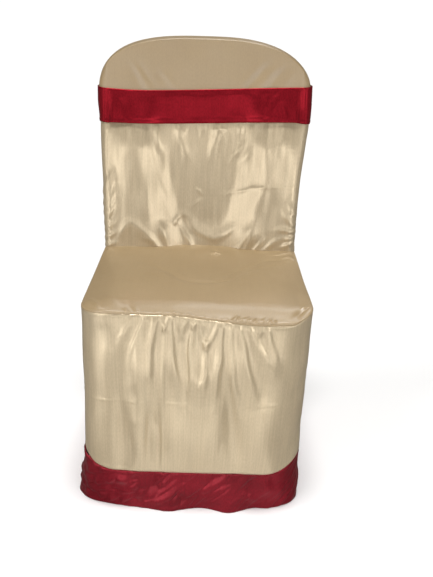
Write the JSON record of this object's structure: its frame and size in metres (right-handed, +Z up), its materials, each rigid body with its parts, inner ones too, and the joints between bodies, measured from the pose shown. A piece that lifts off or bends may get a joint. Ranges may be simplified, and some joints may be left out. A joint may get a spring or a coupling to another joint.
{
  "type": "fitted chair cover with sash",
  "caption": "Fitted satin cover for an armless dining chair with a rounded back: gathered skirt, a plain coloured sash band round the back and a matching hem band.",
  "frame": {"origin": "on the floor under the middle of the cover's outer box", "axes": "+Z up; the front of the cover faces -Y; +X is to the right as seen from the front"},
  "size_m": [0.4907, 0.5591, 0.896],
  "materials": {
    "matt_cloth": "matt fawn cloth, close and smooth",
    "satin": "champagne satin with a soft sheen",
    "sash_cloth": "deep red satin, low sheen",
    "hem_cloth": "deep red satin, creased"
  },
  "bodies": {
    "root": {"crown_cap": "matt_cloth", "inside_back": "satin", "outside_back": "satin", "seat_panel": "matt_cloth", "skirt": "satin", "hem_band": "hem_cloth", "sash": "sash_cloth"}
  },
  "joints": []
}
